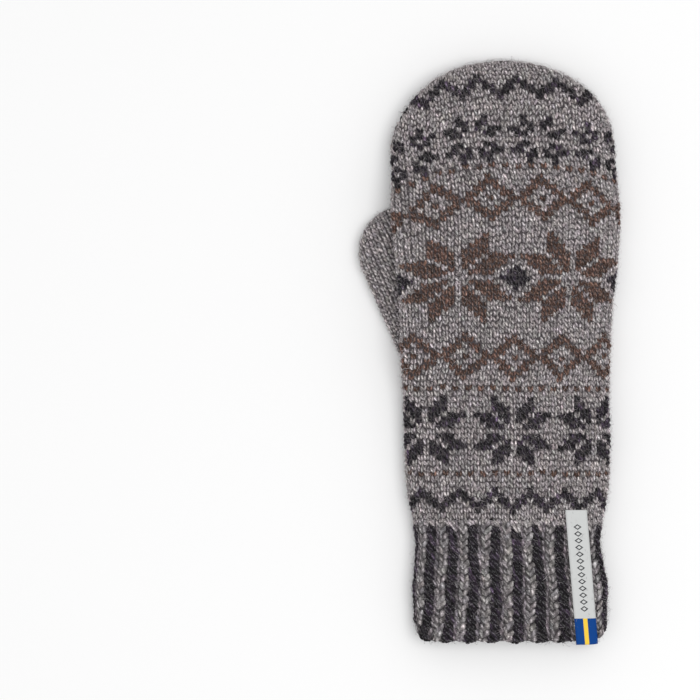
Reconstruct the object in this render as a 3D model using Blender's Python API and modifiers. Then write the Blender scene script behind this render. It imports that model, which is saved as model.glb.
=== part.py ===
"""A knitted wool mitten, lying palm down: hand, ribbed cuff, thumb and a woven ribbon label.

The mitten points along +Y with its back up. Each knitted piece is an open tube with a Solidify wall.
The thumb lies flat under the palm and leans out past its edge, and the palm rides up over it.
"""

import math

import bpy
import numpy as np
from mathutils import Vector

# Overall sizes in metres
LENGTH = 0.270
CUFF_LENGTH = 0.0575
HAND_WIDTH = 0.1068
WRIST_WIDTH = 0.0886
CUFF_WIDTH = 0.0912
HAND_THICKNESS = 0.0170
CUFF_THICKNESS = 0.0160
FINGERTIP_LENGTH = 0.0440
FINGERTIP_ROUNDING = 0.0170
KNIT_WALL = 0.0025
CLEARANCE = 0.0003

# Thumb
THUMB_LENGTH = 0.0796
THUMB_WIDTH = 0.0426
THUMB_THICKNESS = 0.0110
THUMB_WALL = 0.0022
THUMB_TIP_LENGTH = 0.0220
THUMB_TIP_ROUNDING = 0.0100
THUMB_TIP_FULLNESS = 2.0
THUMB_LEAN = math.radians(23.7)
THUMB_BASE_ABOVE_CUFF = 0.0700
THUMB_BASE_SIDE = 0.0237
THUMB_MOUTH_SLOPE = 0.0060
PALM_STEP_RUN = 0.0160
PALM_FALL_PAST_TIP = 0.0340
PALM_EASE_INSIDE = 0.0103
PALM_DRAPE_WIDTH = 0.0360
BACK_SPREAD = 0.0260
BACK_SHARE = 0.85

# Ribbing
RIB_COUNT = 20
RIB_DEPTH = 0.0013
RIB_TWIST = 0.0035
HEM_CORNER = 0.0075
HEM_CORNER_SHARPNESS = 10
HEM_FADE = 3
HEM_SCALLOP = 0.0008
HEM_INSET = 0.0010
RIB_FADE = 0.0080

# Ribbon label
LABEL_WIDTH = 0.0100
LABEL_THICKNESS = 0.0007
LABEL_ABOVE_CUFF = 0.0040
LABEL_INSIDE = 0.0150
LABEL_FROM_EDGE_TOP = 0.0140
LABEL_FROM_EDGE_HEM = 0.0107
LABEL_SLACK = 0.0010
LABEL_TURN = 0.0014

# Half width of the hand between the wrist's (0) and the widest hand's (1), and thickness as a share of the
# hand's, at heights given as shares of the way from the wrist to the fingertips.
HAND_SECTIONS = [
    # up, widening, thickness
    (0.00, 0.00, 0.95),
    (0.03, 0.17, 0.96),
    (0.08, 0.33, 0.98),
    (0.17, 0.41, 1.00),
    (0.26, 0.41, 1.00),
    (0.36, 0.52, 0.98),
    (0.47, 0.62, 0.94),
    (0.57, 0.86, 0.92),
    (0.68, 1.00, 0.94),
    (0.75, 0.90, 0.98),
    (0.82, 0.87, 1.00),
    (1.00, 0.78, 1.00),
]

# Width of the cuff as a share of its widest, at shares of the way from the hem to the wrist.
CUFF_SECTIONS = [
    # up, width
    (0.00, 0.985),
    (0.20, 0.990),
    (0.43, 1.000),
    (0.62, 0.970),
    (0.80, 0.945),
    (1.00, 0.945),
]

# How far the centre line strays sideways, as a share of the hand's width, at shares of the whole length.
CENTRE_LINE = [
    # up, sideways
    (0.00, 0.022),
    (0.10, 0.020),
    (0.17, 0.011),
    (0.24, 0.009),
    (0.35, 0.007),
    (0.50, -0.002),
    (0.66, 0.004),
    (0.80, -0.007),
    (0.86, -0.013),
    (0.92, -0.004),
    (1.00, -0.010),
]

# Soft hollows pressed into the back of the hand. Sideways is a share of the hand's half width, up a share of
# the hand's length, and the spreads and the depth are shares of the hand's width and thickness.
HAND_DENTS = [
    # sideways, up, spread across, spread along, lean, depth
    (-0.45, 0.16, 0.16, 0.05, 0.35, 0.05),
    (0.42, 0.20, 0.12, 0.06, -0.30, 0.04),
    (0.10, 0.42, 0.30, 0.05, 0.15, 0.04),
    (0.62, 0.62, 0.10, 0.14, 0.00, 0.05),
    (-0.20, 0.78, 0.24, 0.05, -0.20, 0.04),
]

# One rib: a wide crown, a shallow dip, a narrow crown and a furrow, as shares of a rib and of its depth.
RIB_PROFILE = [
    # along the rib, sink
    (0.00, 1.00),
    (0.15, 0.15),
    (0.37, 0.40),
    (0.55, 0.00),
    (0.85, 0.10),
]

# How full the curves are: 2 is an ellipse, and more is squarer
SIDE_FULLNESS = 3.0
FLAT_UNDERSIDE = 0.88
FINGERTIP_FULLNESS = 2.08
ROUNDING_FULLNESS = 2.5

# How finely the forms are divided: sides round a tube, and rings as counts, as shares of the cuff's length or
# as degrees round a rounded end.
HAND_SIDES = 20
THUMB_SIDES = 14
FINGERTIP_TURNS = [22, 40, 56, 69, 79, 86]
THUMB_TIP_TURNS = [24, 45, 63, 77, 86]
CUFF_ROWS = [0.0, 0.03, 0.20, 0.40, 0.60, 0.78, 0.91, 1.0]
CUFF_MEETS_WRIST = 0.8
HAND_RINGS_LOW = 5
HAND_RINGS_STEP = 6
HAND_RINGS_HIGH = 5
THUMB_RINGS = 6
LABEL_COLUMNS = 5
LABEL_ROWS_BACK = 12
LABEL_ROWS_TURN = 7
LABEL_ROWS_INSIDE = 4
SECTION_POINTS = 721
DIRECTION_STEP = 0.0005

THUMB_BASE = np.array([-THUMB_BASE_SIDE, CUFF_LENGTH + THUMB_BASE_ABOVE_CUFF])
THUMB_ALONG = np.array([-math.sin(THUMB_LEAN), math.cos(THUMB_LEAN)])
THUMB_ACROSS = np.array([math.cos(THUMB_LEAN), math.sin(THUMB_LEAN)])


def follow(table, column, at):
    """A smooth curve through one column of a table: cubic Hermite pieces with averaged slopes."""
    rows = np.array(table, float)
    knots = rows[:, 0]
    values = rows[:, column]
    slopes = np.gradient(values, knots)
    at = np.clip(np.asarray(at, float), knots[0], knots[-1])
    i = np.clip(np.searchsorted(knots, at) - 1, 0, len(knots) - 2)
    step = knots[i + 1] - knots[i]
    t = (at - knots[i]) / step
    start = (1 + 2 * t) * (1 - t) ** 2 * values[i] + t * (1 - t) ** 2 * step * slopes[i]
    end = t * t * (3 - 2 * t) * values[i + 1] + t * t * (t - 1) * step * slopes[i + 1]
    return start + end


def ease(x):
    """0 below 0, 1 above 1, and a smooth S between."""
    x = np.clip(x, 0.0, 1.0)
    return x * x * (3 - 2 * x)


def rounded_end(to_end, reach, fullness):
    """1 until reach before the end, then down to 0 at the end along a superellipse."""
    q = np.clip(1 - np.asarray(to_end) / reach, 0.0, 1.0)
    return (1 - q**fullness) ** (1 / fullness)


def centre(y):
    return HAND_WIDTH * follow(CENTRE_LINE, 1, np.asarray(y) / LENGTH)


def half_width(y):
    """Half the flat width at a height above the hem: the cuff's table below the wrist, the hand's above."""
    y = np.asarray(y, float)
    up_cuff = y / CUFF_LENGTH
    cuff = CUFF_WIDTH * follow(CUFF_SECTIONS, 1, up_cuff)
    cuff = cuff + (WRIST_WIDTH - cuff) * ease((up_cuff - CUFF_MEETS_WRIST) / (1 - CUFF_MEETS_WRIST))
    up_hand = (y - CUFF_LENGTH) / (LENGTH - CUFF_LENGTH)
    hand = WRIST_WIDTH + (HAND_WIDTH - WRIST_WIDTH) * follow(HAND_SECTIONS, 1, up_hand)
    hand = hand * rounded_end(LENGTH - y, FINGERTIP_LENGTH, FINGERTIP_FULLNESS)
    return np.where(y < CUFF_LENGTH, cuff, hand) / 2


def thickness(y):
    y = np.asarray(y, float)
    up_hand = (y - CUFF_LENGTH) / (LENGTH - CUFF_LENGTH)
    wrist = HAND_THICKNESS * HAND_SECTIONS[0][2]
    cuff = CUFF_THICKNESS + (wrist - CUFF_THICKNESS) * ease(y / CUFF_LENGTH)
    hand = HAND_THICKNESS * follow(HAND_SECTIONS, 2, up_hand)
    hand = hand * rounded_end(LENGTH - y, FINGERTIP_ROUNDING, ROUNDING_FULLNESS)
    return np.where(y < CUFF_LENGTH, cuff, hand)


def lift(x, y, spread):
    """How high the hand rides over the thumb, eased off across it and past its ends: with no spread the palm,
    which steps up sharply at the slit, and with a spread the back, which follows more softly."""
    along = (x - THUMB_BASE[0]) * THUMB_ALONG[0] + (y - THUMB_BASE[1]) * THUMB_ALONG[1]
    across = (x - THUMB_BASE[0]) * THUMB_ACROSS[0] + (y - THUMB_BASE[1]) * THUMB_ACROSS[1]
    step_up = ease((along + spread) / (PALM_STEP_RUN + 2 * spread))
    past_tip = along - THUMB_LENGTH + THUMB_TIP_ROUNDING + spread / 2
    step_down = 1 - ease(past_tip / (PALM_FALL_PAST_TIP + THUMB_TIP_ROUNDING + spread))
    past_edge = across - THUMB_WIDTH / 2 + PALM_EASE_INSIDE + spread / 2
    drape = 1 - ease(past_edge / (PALM_DRAPE_WIDTH + spread))
    return (THUMB_THICKNESS + 2 * CLEARANCE) * step_up * step_down * drape


def dents(x, y):
    """Depth of the soft hollows in the back of the hand: a sum of leaning Gaussian dips."""
    depth = np.zeros(np.shape(x))
    hand_length = LENGTH - CUFF_LENGTH
    for sideways, up, across, along, lean, deep in HAND_DENTS:
        dx = x - sideways * HAND_WIDTH / 2
        dy = y - CUFF_LENGTH - up * hand_length - lean * dx
        depth = depth + deep * HAND_THICKNESS * np.exp(
            -((dx / (across * HAND_WIDTH)) ** 2) - (dy / (along * hand_length)) ** 2
        )
    return depth


def flat_oval(angle, half_wide, thick):
    """A superellipse whose underside is pressed flat on the surface at height 0."""
    half_thick = thick / (1 + FLAT_UNDERSIDE)
    power = 2 / SIDE_FULLNESS
    across = half_wide * np.sign(np.cos(angle)) * np.abs(np.cos(angle)) ** power
    height = half_thick * np.sign(np.sin(angle)) * np.abs(np.sin(angle)) ** power
    return across, np.maximum(height, -FLAT_UNDERSIDE * half_thick) + FLAT_UNDERSIDE * half_thick


def new_object(name, points, faces, colour, roughness, collection, parent):
    mesh = bpy.data.meshes.new(name)
    mesh.from_pydata([tuple(p) for p in points], [], faces)
    mesh.validate()
    mesh.shade_smooth()
    obj = bpy.data.objects.new(name, mesh)
    collection.objects.link(obj)
    obj.parent = parent
    material = bpy.data.materials.new(name)
    material.use_nodes = True
    shader = material.node_tree.nodes["Principled BSDF"]
    shader.inputs["Base Color"].default_value = (*colour, 1)
    shader.inputs["Roughness"].default_value = roughness
    shader.inputs["Metallic"].default_value = 0
    material.diffuse_color = (*colour, 1)
    mesh.materials.append(material)
    return obj


def tube_faces(rings, sides, pole):
    """Quads between neighbouring rings of a tube along +Y, facing out, and a fan to an end point."""
    faces = []
    for r in range(rings - 1):
        for s in range(sides):
            a = r * sides + s
            b = r * sides + (s + 1) % sides
            faces.append((a, a + sides, b + sides, b))
    if pole:
        last = (rings - 1) * sides
        for s in range(sides):
            faces.append((last + s, rings * sides, last + (s + 1) % sides))
    return faces


def add_subdivision(obj):
    modifier = obj.modifiers.new("Soft form", "SUBSURF")
    modifier.levels = 1
    modifier.render_levels = 1


def add_wall(obj, thick, outward=False):
    modifier = obj.modifiers.new("Wall", "SOLIDIFY")
    modifier.thickness = thick
    modifier.offset = 1 if outward else -1
    modifier.use_even_offset = True


def hand_heights():
    """Heights of the hand's rings, close together at the palm's step and round the fingertips."""
    below_step = THUMB_BASE[1] - PALM_STEP_RUN / 2
    above_step = below_step + 2 * PALM_STEP_RUN
    tip_start = LENGTH - FINGERTIP_LENGTH
    low = np.linspace(CUFF_LENGTH + CLEARANCE, below_step, HAND_RINGS_LOW)
    step = np.linspace(below_step, above_step, HAND_RINGS_STEP)[1:]
    high = np.linspace(above_step, tip_start, HAND_RINGS_HIGH)[1:]
    end = tip_start + FINGERTIP_LENGTH * np.sin(np.radians(FINGERTIP_TURNS))
    return np.concatenate([low, step, high, end])


def make_hand(collection, parent):
    heights = hand_heights()
    angle = np.arange(HAND_SIDES) * 2 * math.pi / HAND_SIDES
    points = []
    for y in heights:
        across, height = flat_oval(angle, half_width(y), thickness(y))
        x = centre(y) + across
        upper = ease(height / thickness(y))
        raised = lift(x, y, 0.0) * (1 - upper) + lift(x, y, BACK_SPREAD) * BACK_SHARE * upper
        z = height + raised - dents(x, y) * upper
        points += [(a, y, b) for a, b in zip(x, z)]
    tip = FLAT_UNDERSIDE / (1 + FLAT_UNDERSIDE) * thickness(heights[-1])
    points.append((float(centre(LENGTH)), LENGTH, float(tip)))
    faces = tube_faces(len(heights), HAND_SIDES, True)
    obj = new_object("hand", points, faces, (0.215, 0.190, 0.195), 0.95, collection, parent)
    add_subdivision(obj)
    add_wall(obj, KNIT_WALL)
    return obj


def keep_mouth_sharp(mesh, sides):
    """Creases the edges of a tube's first ring: subdivision then leaves its flat cap as wide as the tube."""
    crease = mesh.attributes.new("crease_edge", "FLOAT", "EDGE")
    for edge in mesh.edges:
        if max(edge.vertices) < sides:
            crease.data[edge.index].value = 1.0


def make_thumb(name, swell, collection, parent):
    """The thumb's outer form, open at its slanted mouth. With a swell it is the room that the thumb takes in
    the palm: it reaches further below and a little past the mouth, and a flat cap closes it."""
    past_mouth = 2 * swell
    below = 4 * swell
    mouth_step = THUMB_WALL + 2 * swell if swell else 0.0
    tip_start = THUMB_LENGTH - THUMB_TIP_LENGTH
    shaft = np.linspace(-past_mouth, tip_start, THUMB_RINGS)
    end = tip_start + THUMB_TIP_LENGTH * np.sin(np.radians(THUMB_TIP_TURNS))
    along = np.concatenate([shaft, end])
    angle = np.arange(THUMB_SIDES) * 2 * math.pi / THUMB_SIDES
    points = []
    for step in along:
        to_tip = THUMB_LENGTH - step
        narrowing = rounded_end(to_tip, THUMB_TIP_LENGTH, THUMB_TIP_FULLNESS)
        half_wide = THUMB_WIDTH / 2 * narrowing + swell
        thinning = rounded_end(to_tip, THUMB_TIP_ROUNDING, ROUNDING_FULLNESS)
        thick = THUMB_THICKNESS * thinning + swell
        across, height = flat_oval(angle, half_wide, thick)
        height = np.where(height < swell, height - below, height)
        near_mouth = ease(1 - 2 * (step + past_mouth) / THUMB_LENGTH)
        slant = THUMB_MOUTH_SLOPE * (height - mouth_step) / THUMB_THICKNESS * near_mouth
        place = THUMB_BASE + np.outer(step + slant, THUMB_ALONG) + np.outer(across, THUMB_ACROSS)
        points += [(px, py, pz) for (px, py), pz in zip(place, height)]
    tip = THUMB_BASE + THUMB_ALONG * (THUMB_LENGTH + swell)
    points.append((tip[0], tip[1], points[-1][2]))
    faces = tube_faces(len(along), THUMB_SIDES, True)
    if swell:
        faces.append(tuple(range(THUMB_SIDES)))
    obj = new_object(name, points, faces, (0.215, 0.195, 0.200), 0.95, collection, parent)
    if swell:
        keep_mouth_sharp(obj.data, THUMB_SIDES)
    add_subdivision(obj)
    return obj


def cut_slit(hand, cutters, parent):
    """Opens the palm where the thumb passes through it, with the clearance all round."""
    cutter = make_thumb("thumb_room", CLEARANCE, cutters, parent)
    cutter.hide_render = True
    cutter.display_type = "WIRE"
    cut = hand.modifiers.new("Thumb opening", "BOOLEAN")
    cut.operation = "DIFFERENCE"
    cut.solver = "EXACT"
    cut.object = cutter


def even_section(y, places):
    """Points on the section at height y, at shares of its length round, with the directions pointing in."""
    angle = np.linspace(0, 2 * math.pi, SECTION_POINTS)
    across, height = flat_oval(angle, half_width(y), thickness(y))
    run = np.concatenate([[0], np.cumsum(np.hypot(np.diff(across), np.diff(height)))])
    at = (places % 1.0) * run[-1]
    x = np.interp(at, run, across)
    z = np.interp(at, run, height)
    ahead = (at + DIRECTION_STEP) % run[-1]
    behind = (at - DIRECTION_STEP) % run[-1]
    dx = np.interp(ahead, run, across) - np.interp(behind, run, across)
    dz = np.interp(ahead, run, height) - np.interp(behind, run, height)
    size = np.hypot(dx, dz)
    return centre(y) + x, z, -dz / size, dx / size


def hem_rise(x):
    """How much the hem curves up towards its two corners."""
    share = np.abs(x - centre(0)) / half_width(0)
    return HEM_CORNER * np.minimum(share, 1.0) ** HEM_CORNER_SHARPNESS


def make_cuff(collection, parent):
    profile = np.array(RIB_PROFILE)
    shares = ((np.arange(RIB_COUNT)[:, None] + profile[None, :, 0]) / RIB_COUNT).ravel()
    sink = np.tile(profile[:, 1], RIB_COUNT)
    top = CUFF_LENGTH - CLEARANCE
    round_length = 2 * (CUFF_WIDTH + CUFF_THICKNESS)
    points = []
    for y in np.array(CUFF_ROWS) * top:
        twist = RIB_TWIST / round_length * (1 - y / top)
        x, z, inward_x, inward_z = even_section(y, shares + twist)
        depth = RIB_DEPTH * sink * ease((top - y) / RIB_FADE) + HEM_INSET * (y == 0)
        near_hem = (1 - y / top) ** HEM_FADE
        height = y + near_hem * (hem_rise(x) + HEM_SCALLOP * sink)
        points += list(zip(x + inward_x * depth, height, z + inward_z * depth))
    faces = tube_faces(len(CUFF_ROWS), len(shares), False)
    obj = new_object("cuff", points, faces, (0.110, 0.095, 0.105), 0.95, collection, parent)
    add_wall(obj, KNIT_WALL)
    return obj


def back_height(x, y):
    """Height of the back of the mitten, between the ribs' furrows, at a place on it."""
    half_thick = thickness(y) / (1 + FLAT_UNDERSIDE)
    share = np.clip(np.abs(x - centre(y)) / half_width(y), 0, 0.999)
    return half_thick * (FLAT_UNDERSIDE + (1 - share**SIDE_FULLNESS) ** (1 / SIDE_FULLNESS))


def label_route():
    """Rows of the ribbon as (height above the hem, angle turned round it): down the back, round, and up."""
    top = CUFF_LENGTH + LABEL_ABOVE_CUFF
    over = [(y, 0.0) for y in np.linspace(top, LABEL_TURN, LABEL_ROWS_BACK)]
    turn = [(0.0, t) for t in np.linspace(0, math.pi, LABEL_ROWS_TURN)]
    inside = [(y, math.pi) for y in np.linspace(2 * LABEL_TURN, LABEL_INSIDE, LABEL_ROWS_INSIDE)]
    return over + turn + inside


def label_middle(y):
    """Where the ribbon's middle runs: a straight line between its places at the hem and at its top."""
    top = CUFF_LENGTH + LABEL_ABOVE_CUFF
    at_hem = centre(0) + half_width(0) - LABEL_FROM_EDGE_HEM
    at_top = centre(top) + half_width(top) - LABEL_FROM_EDGE_TOP
    return at_hem + (at_top - at_hem) * y / top


def make_label(collection, parent):
    """A ribbon down the back of the cuff, round its hem and a little way up inside."""
    across = np.linspace(-0.5, 0.5, LABEL_COLUMNS) * LABEL_WIDTH
    turn_radius = (KNIT_WALL + RIB_DEPTH + LABEL_SLACK) / 2 + CLEARANCE
    route = label_route()
    points = []
    for y, turned in route:
        x = label_middle(y) + across
        rise = hem_rise(x) * max(1 - y / CUFF_LENGTH, 0) ** HEM_FADE
        middle = back_height(x, y) + CLEARANCE - turn_radius
        height = y + rise - LABEL_TURN * math.sin(turned)
        points += list(zip(x, height, middle + turn_radius * math.cos(turned)))
    faces = []
    for row in range(len(route) - 1):
        for column in range(LABEL_COLUMNS - 1):
            a = row * LABEL_COLUMNS + column
            faces.append((a, a + LABEL_COLUMNS, a + LABEL_COLUMNS + 1, a + 1))
    obj = new_object("label", points, faces, (0.600, 0.605, 0.600), 0.45, collection, parent)
    add_wall(obj, LABEL_THICKNESS, outward=True)
    return obj


def stand_on_origin(parent, pieces):
    """Moves the parent so that the middle of the mitten's underside is at the origin."""
    bpy.context.view_layer.update()
    graph = bpy.context.evaluated_depsgraph_get()
    corners = []
    for piece in pieces:
        shown = piece.evaluated_get(graph)
        corners += [shown.matrix_world @ Vector(corner) for corner in shown.bound_box]
    corners = np.array(corners)
    low = corners.min(axis=0)
    high = corners.max(axis=0)
    parent.location = (-(low[0] + high[0]) / 2, -(low[1] + high[1]) / 2, -low[2])


def main():
    for obj in list(bpy.data.objects):
        bpy.data.objects.remove(obj, do_unlink=True)
    pieces = bpy.data.collections.new("mitten")
    cutters = bpy.data.collections.new("mitten cutters")
    bpy.context.scene.collection.children.link(pieces)
    bpy.context.scene.collection.children.link(cutters)
    parent = bpy.data.objects.new("mitten_origin", None)
    pieces.objects.link(parent)
    hand = make_hand(pieces, parent)
    cut_slit(hand, cutters, parent)
    thumb = make_thumb("thumb", 0.0, pieces, parent)
    add_wall(thumb, THUMB_WALL)
    cuff = make_cuff(pieces, parent)
    label = make_label(pieces, parent)
    stand_on_origin(parent, [hand, thumb, cuff, label])


main()
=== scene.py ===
# %% [markdown]
# # A knitted wool mitten
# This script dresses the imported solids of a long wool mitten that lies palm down. The real one is knitted
# from two strands at once, so its surface is thousands of small V-shaped stitches. Each V has two legs of
# yarn, and the pattern is made by the colour of each V. Here every leg is a small closed bean of yarn that
# is laid on the mitten's own surface, so the knitting bends round the sides as the real one does.

import math

import bpy
import numpy as np
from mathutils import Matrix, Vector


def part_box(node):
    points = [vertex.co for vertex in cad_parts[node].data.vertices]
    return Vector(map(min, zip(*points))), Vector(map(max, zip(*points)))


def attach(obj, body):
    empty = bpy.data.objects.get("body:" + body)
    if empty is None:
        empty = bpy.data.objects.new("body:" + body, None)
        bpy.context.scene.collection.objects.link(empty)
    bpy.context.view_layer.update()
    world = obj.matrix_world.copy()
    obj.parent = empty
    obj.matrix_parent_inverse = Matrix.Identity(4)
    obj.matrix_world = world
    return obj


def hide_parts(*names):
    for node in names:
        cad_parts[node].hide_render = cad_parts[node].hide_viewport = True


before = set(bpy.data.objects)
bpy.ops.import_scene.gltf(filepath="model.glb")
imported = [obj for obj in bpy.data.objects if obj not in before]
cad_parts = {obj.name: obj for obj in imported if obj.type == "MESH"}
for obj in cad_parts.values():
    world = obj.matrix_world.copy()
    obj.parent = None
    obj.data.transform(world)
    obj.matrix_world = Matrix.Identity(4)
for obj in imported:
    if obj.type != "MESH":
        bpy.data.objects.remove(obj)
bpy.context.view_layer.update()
random = np.random.default_rng(7)
print("nodes:", sorted(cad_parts))

# %% [markdown]
# ## The mitten's form
# The form is a tube whose flat oval section changes along its length. Tables say how wide and thick the
# tube is at shares of its length, and smooth curves run through them. The form is kept in its own measure,
# with the hem at height 0, and is moved into the frame at the end of this part.

# %% Sizes in metres
LENGTH = 0.270
CUFF_LENGTH = 0.0575
HAND_WIDTH = 0.1068
WRIST_WIDTH = 0.0886
CUFF_WIDTH = 0.0912
CUFF_NARROWS_FROM = 0.8
HAND_THICKNESS = 0.0170
CUFF_THICKNESS = 0.0160
FINGERTIP_LENGTH = 0.0440
FINGERTIP_ROUNDING = 0.0170
KNIT_WALL = 0.0025
CLEARANCE = 0.0003
THUMB_LENGTH = 0.0796
THUMB_WIDTH = 0.0426
THUMB_THICKNESS = 0.0110
THUMB_TIP_LENGTH = 0.0220
THUMB_TIP_ROUNDING = 0.0100
THUMB_TIP_FULLNESS = 2.0
THUMB_LEAN = math.radians(23.7)
THUMB_BASE_ABOVE_CUFF = 0.0700
THUMB_BASE_SIDE = 0.0237
THUMB_MOUTH_SLOPE = 0.0060
PALM_STEP_RUN = 0.0160
PALM_FALL_PAST_TIP = 0.0340
PALM_EASE_INSIDE = 0.0103
PALM_DRAPE_WIDTH = 0.0360
BACK_SPREAD = 0.0260
BACK_SHARE = 0.85
HEM_CORNER = 0.0100
HEM_CORNER_SHARPNESS = 28
HEM_FADE = 3
SIDE_FULLNESS = 3.0
FLAT_UNDERSIDE = 0.88
FINGERTIP_FULLNESS = 2.08
ROUNDING_FULLNESS = 2.5

HAND_SECTIONS = [
    # up, widening, thickness
    (0.00, 0.00, 0.95),
    (0.03, 0.17, 0.96),
    (0.08, 0.33, 0.98),
    (0.17, 0.41, 1.00),
    (0.26, 0.41, 1.00),
    (0.36, 0.52, 0.98),
    (0.47, 0.62, 0.94),
    (0.57, 0.86, 0.92),
    (0.68, 1.00, 0.94),
    (0.75, 0.90, 0.98),
    (0.82, 0.87, 1.00),
    (1.00, 0.78, 1.00),
]
CUFF_SECTIONS = [
    # up, width
    (0.00, 0.985),
    (0.20, 0.990),
    (0.43, 1.000),
    (0.62, 0.970),
    (0.80, 0.945),
    (1.00, 0.945),
]
CENTRE_LINE = [
    # up, sideways
    (0.00, 0.022),
    (0.10, 0.020),
    (0.17, 0.011),
    (0.24, 0.009),
    (0.35, 0.007),
    (0.50, -0.002),
    (0.66, 0.004),
    (0.80, -0.007),
    (0.86, -0.013),
    (0.92, -0.004),
    (1.00, -0.010),
]
HAND_DENTS = [
    # sideways, up, spread across, spread along, lean, depth
    (-0.45, 0.16, 0.16, 0.05, 0.35, 0.05),
    (0.42, 0.20, 0.12, 0.06, -0.30, 0.04),
    (0.10, 0.42, 0.30, 0.05, 0.15, 0.04),
    (0.62, 0.62, 0.10, 0.14, 0.00, 0.05),
    (-0.20, 0.78, 0.24, 0.05, -0.20, 0.04),
]
THUMB_BASE = np.array([-THUMB_BASE_SIDE, CUFF_LENGTH + THUMB_BASE_ABOVE_CUFF])
THUMB_ALONG = np.array([-math.sin(THUMB_LEAN), math.cos(THUMB_LEAN)])
THUMB_ACROSS = np.array([math.cos(THUMB_LEAN), math.sin(THUMB_LEAN)])


# %% Curves through the tables
def follow(table, column, at):
    """Cubic Hermite pieces through one column of a table, with each slope the mean of its neighbours'."""
    rows = np.array(table, float)
    knots = rows[:, 0]
    values = rows[:, column]
    slopes = np.gradient(values, knots)
    at = np.clip(np.asarray(at, float), knots[0], knots[-1])
    i = np.clip(np.searchsorted(knots, at) - 1, 0, len(knots) - 2)
    step = knots[i + 1] - knots[i]
    t = (at - knots[i]) / step
    start = (1 + 2 * t) * (1 - t) ** 2 * values[i] + t * (1 - t) ** 2 * step * slopes[i]
    end = t * t * (3 - 2 * t) * values[i + 1] + t * t * (t - 1) * step * slopes[i + 1]
    return start + end


def ease(x):
    """0 below 0, 1 above 1, and between them x squared times (3 - 2x)."""
    x = np.clip(x, 0.0, 1.0)
    return x * x * (3 - 2 * x)


def rounded_end(to_end, reach, fullness):
    """1 until reach before the end, then down to 0 at the end along a superellipse."""
    q = np.clip(1 - np.asarray(to_end) / reach, 0.0, 1.0)
    return (1 - q**fullness) ** (1 / fullness)


def centre(y):
    """How far the middle of the flat mitten strays sideways at a height."""
    return HAND_WIDTH * follow(CENTRE_LINE, 1, np.asarray(y) / LENGTH)


def open_width(y):
    """The flat width at a height above the hem, before the fingertips are rounded."""
    y = np.asarray(y, float)
    up_cuff = y / CUFF_LENGTH
    cuff = CUFF_WIDTH * follow(CUFF_SECTIONS, 1, up_cuff)
    cuff = cuff + (WRIST_WIDTH - cuff) * ease((up_cuff - CUFF_NARROWS_FROM) / (1 - CUFF_NARROWS_FROM))
    up_hand = (y - CUFF_LENGTH) / (LENGTH - CUFF_LENGTH)
    hand = WRIST_WIDTH + (HAND_WIDTH - WRIST_WIDTH) * follow(HAND_SECTIONS, 1, up_hand)
    return np.where(y < CUFF_LENGTH, cuff, hand)


def half_width(y):
    """Half the flat width at a height above the hem, with the fingertips rounded."""
    return open_width(y) * rounded_end(LENGTH - y, FINGERTIP_LENGTH, FINGERTIP_FULLNESS) / 2


def thickness(y):
    """The thickness of the flat tube: the cuff's, easing into the hand's, rounded at the fingertips."""
    y = np.asarray(y, float)
    up_hand = (y - CUFF_LENGTH) / (LENGTH - CUFF_LENGTH)
    wrist = HAND_THICKNESS * HAND_SECTIONS[0][2]
    cuff = CUFF_THICKNESS + (wrist - CUFF_THICKNESS) * ease(y / CUFF_LENGTH)
    hand = HAND_THICKNESS * follow(HAND_SECTIONS, 2, up_hand)
    hand = hand * rounded_end(LENGTH - y, FINGERTIP_ROUNDING, ROUNDING_FULLNESS)
    return np.where(y < CUFF_LENGTH, cuff, hand)


def flat_oval(angle, half_wide, thick):
    """A superellipse whose underside is pressed flat on the surface at height 0."""
    half_thick = thick / (1 + FLAT_UNDERSIDE)
    power = 2 / SIDE_FULLNESS
    across = half_wide * np.sign(np.cos(angle)) * np.abs(np.cos(angle)) ** power
    height = half_thick * np.sign(np.sin(angle)) * np.abs(np.sin(angle)) ** power
    return across, np.maximum(height, -FLAT_UNDERSIDE * half_thick) + FLAT_UNDERSIDE * half_thick


# %% [markdown]
# ## The hand rides over the thumb
# The thumb lies under the palm, so the palm steps up where it leaves the slit and runs over it. The back
# follows more softly. Both are one bump in height, eased off across the thumb and past its two ends.


# %% Lift and dents
def on_thumb(x, y):
    """How far along the thumb's leaning axis a place is, and how far across it."""
    dx = x - THUMB_BASE[0]
    dy = y - THUMB_BASE[1]
    return dx * THUMB_ALONG[0] + dy * THUMB_ALONG[1], dx * THUMB_ACROSS[0] + dy * THUMB_ACROSS[1]


def lift(x, y, spread):
    """The thumb's thickness times a step up along it, a step down past its tip and an ease across."""
    along, across = on_thumb(x, y)
    step_up = ease((along + spread) / (PALM_STEP_RUN + 2 * spread))
    past_tip = along - THUMB_LENGTH + THUMB_TIP_ROUNDING + spread / 2
    step_down = 1 - ease(past_tip / (PALM_FALL_PAST_TIP + THUMB_TIP_ROUNDING + spread))
    past_edge = across - THUMB_WIDTH / 2 + PALM_EASE_INSIDE + spread / 2
    drape = 1 - ease(past_edge / (PALM_DRAPE_WIDTH + spread))
    return (THUMB_THICKNESS + 2 * CLEARANCE) * step_up * step_down * drape


def dents(x, y):
    """Depth of the soft hollows in the back: a sum of leaning Gaussian dips."""
    depth = np.zeros(np.shape(x))
    hand_length = LENGTH - CUFF_LENGTH
    for sideways, up, across, along, lean, deep in HAND_DENTS:
        dx = x - sideways * HAND_WIDTH / 2
        dy = y - CUFF_LENGTH - up * hand_length - lean * dx
        dip = np.exp(-((dx / (across * HAND_WIDTH)) ** 2) - (dy / (along * hand_length)) ** 2)
        depth = depth + deep * HAND_THICKNESS * dip
    return depth


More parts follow.
